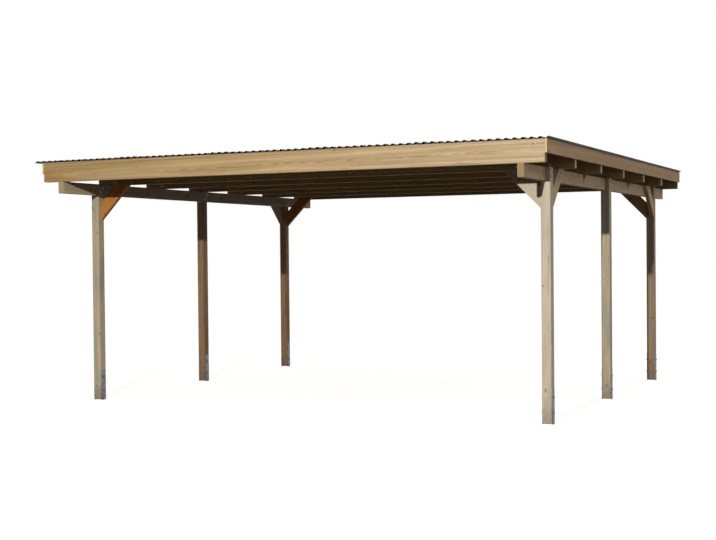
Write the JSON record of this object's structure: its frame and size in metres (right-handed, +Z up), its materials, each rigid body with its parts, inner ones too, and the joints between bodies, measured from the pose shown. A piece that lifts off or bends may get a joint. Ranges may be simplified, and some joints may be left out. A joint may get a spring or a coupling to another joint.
{
  "type": "double carport",
  "caption": "Open double carport: timber posts in steel anchors carry beams, rafters and a flat corrugated roof with boards at front and sides.",
  "frame": {"origin": "on the ground, below the middle of the whole roof", "axes": "+X to the right seen from the driveway, +Y from the driveway side to the back, +Z up"},
  "size_m": [5.51, 5.37, 2.5297],
  "materials": {
    "posts": "pressure-treated pine, planed, weathered",
    "beams": "pressure-treated pine, sawn, weathered grey-brown",
    "rafters": "pressure-treated pine, planed",
    "braces": "pressure-treated pine, planed, warm",
    "front_board": "pressure-treated pine board, planed, golden",
    "side_boards": "pressure-treated pine board, weathered",
    "steel": "hot-dip galvanised, dull grey",
    "roof_sheet": "anthracite corrugated sheet, satin"
  },
  "bodies": {
    "root": {"post_front_left": "posts", "post_middle_left": "posts", "post_rear_left": "posts", "post_front_right": "posts", "post_middle_right": "posts", "post_rear_right": "posts", "anchor_front_left": "steel", "anchor_middle_left": "steel", "anchor_rear_left": "steel", "anchor_front_right": "steel", "anchor_middle_right": "steel", "anchor_rear_right": "steel", "beam_left": "beams", "beam_right": "beams", "rafter_1": "rafters", "rafter_2": "rafters", "rafter_3": "rafters", "rafter_4": "rafters", "rafter_5": "rafters", "rafter_6": "rafters", "rafter_7": "rafters", "cross_brace_front_left": "braces", "cross_brace_rear_left": "braces", "cross_brace_front_right": "braces", "cross_brace_rear_right": "braces", "side_brace_front_left": "braces", "side_brace_rear_left": "braces", "side_brace_front_right": "braces", "side_brace_rear_right": "braces", "rafter_straps_left": "steel", "rafter_straps_right": "steel", "front_board": "front_board", "side_board_left": "side_boards", "side_board_right": "side_boards", "roof_sheet_1": "roof_sheet", "roof_sheet_2": "roof_sheet", "roof_sheet_3": "roof_sheet", "roof_sheet_4": "roof_sheet", "roof_sheet_5": "roof_sheet"}
  },
  "joints": []
}
